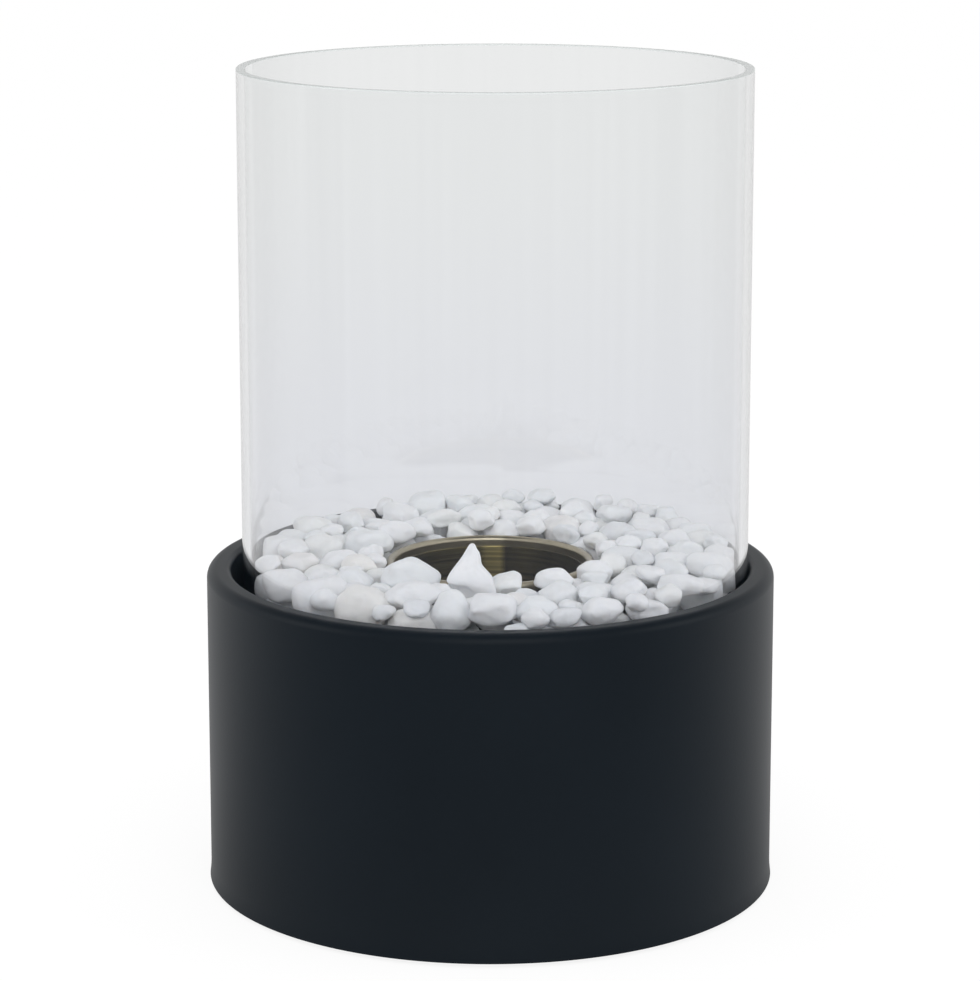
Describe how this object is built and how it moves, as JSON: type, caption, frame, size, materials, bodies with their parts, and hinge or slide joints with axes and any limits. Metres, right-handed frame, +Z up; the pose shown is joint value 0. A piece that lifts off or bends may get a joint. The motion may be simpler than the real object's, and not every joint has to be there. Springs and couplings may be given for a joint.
{
  "type": "tabletop fireplace",
  "caption": "Round tabletop fireplace: black steel base with a sunk pan of white pebbles round a steel burner cup, and an open clear glass cylinder standing on the pan.",
  "frame": {"origin": "on the table, in the middle under the base, at the height of the feet's undersides", "axes": "+Z up along the height, the front faces -Y, +X to the right seen from the front"},
  "size_m": [0.203, 0.203, 0.292],
  "materials": {
    "painted_steel": "satin black powder coat",
    "painted_pan": "matt black heat-proof paint",
    "painted_floor": "matt black powder coat",
    "zinc_sheet": "zinc-plated sheet",
    "zinc_fastener": "zinc-plated",
    "foot_rubber": "matt moulded",
    "white_marble": "tumbled, opaque",
    "burner_steel": "turned, warm stainless",
    "holder_steel": "mill finish",
    "screen_steel": "perforated sheet",
    "mineral_wool": "fibrous",
    "fibre_gasket": "pressed fibre",
    "clear_glass": "clear, polished"
  },
  "bodies": {
    "base": {"base_floor": "painted_floor", "base_shell": "painted_steel", "burner_holder": "holder_steel", "floor_bracket_1": "zinc_sheet", "floor_bracket_2": "zinc_sheet", "floor_bracket_3": "zinc_sheet", "floor_bracket_4": "zinc_sheet", "floor_screws": "zinc_fastener", "foot_nuts": "zinc_fastener", "foot_pad_1": "foot_rubber", "foot_pad_2": "foot_rubber", "foot_pad_3": "foot_rubber", "foot_pad_4": "foot_rubber", "foot_screws": "zinc_fastener", "glass_gasket": "fibre_gasket", "pan_bracket_1": "zinc_sheet", "pan_bracket_2": "zinc_sheet", "pan_bracket_3": "zinc_sheet", "pan_bracket_4": "zinc_sheet", "pan_screws": "zinc_fastener", "pebbles_1": "white_marble", "pebbles_10": "white_marble", "pebbles_11": "white_marble", "pebbles_12": "white_marble", "pebbles_2": "white_marble", "pebbles_3": "white_marble", "pebbles_4": "white_marble", "pebbles_5": "white_marble", "pebbles_6": "white_marble", "pebbles_7": "white_marble", "pebbles_8": "white_marble", "pebbles_9": "white_marble", "stone_pan": "painted_pan"},
    "glass": {"glass_cylinder": "clear_glass"},
    "burner": {"burner_cup": "burner_steel", "burner_liner": "burner_steel", "wool_screen": "screen_steel", "fuel_wool": "mineral_wool"}
  },
  "joints": [
    {"name": "glass_lift", "type": "slide", "parent": "base", "child": "glass", "axis": [0, 0, 1], "range_m": [0, 0.06]},
    {"name": "burner_lift", "type": "slide", "parent": "base", "child": "burner", "axis": [0, 0, 1], "range_m": [0, 0.25]}
  ]
}
